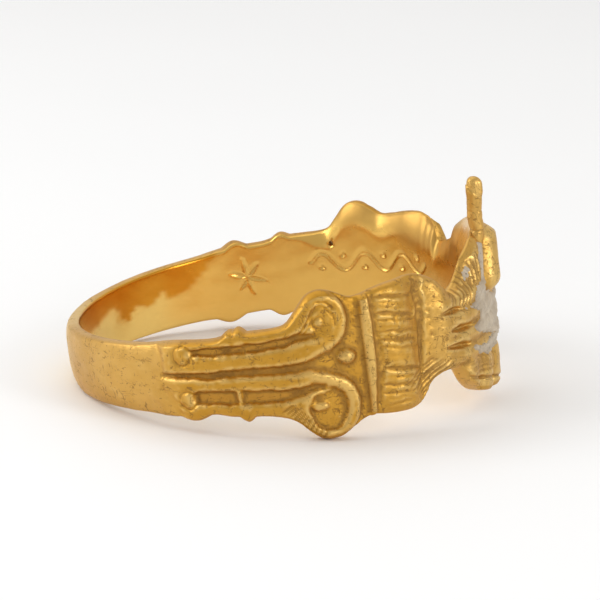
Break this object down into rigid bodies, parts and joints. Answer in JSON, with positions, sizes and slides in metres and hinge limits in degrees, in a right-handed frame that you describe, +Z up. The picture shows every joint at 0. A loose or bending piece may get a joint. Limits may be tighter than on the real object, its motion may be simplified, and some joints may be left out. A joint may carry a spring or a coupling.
{
  "type": "fede ring",
  "caption": "Cast gold finger ring with clasped hands between pleated cuffs, scrolled strap shoulders, a plain hoop and remains of pale enamel, lying on its side.",
  "frame": {"origin": "middle of the ring's outline at floor level, as the ring lies on its side", "axes": "+Z up as it lies, +X towards the clasped hands, +Y towards the far shoulder; the finger hole's axis leans 9.07 degrees from +Z towards -X"},
  "size_m": [0.0206, 0.0202, 0.0106],
  "materials": {
    "gold": "high-carat cast gold, satin, worn and finely scratched, with dark orange in its hollows",
    "enamel": "what is left of a white enamel, greyish, pitted and half matt"
  },
  "bodies": {
    "root": {"gold_ring": "gold", "enamel_fingers": "enamel", "enamel_edge": "enamel", "enamel_strip": "enamel", "enamel_spot": "enamel"}
  },
  "joints": []
}
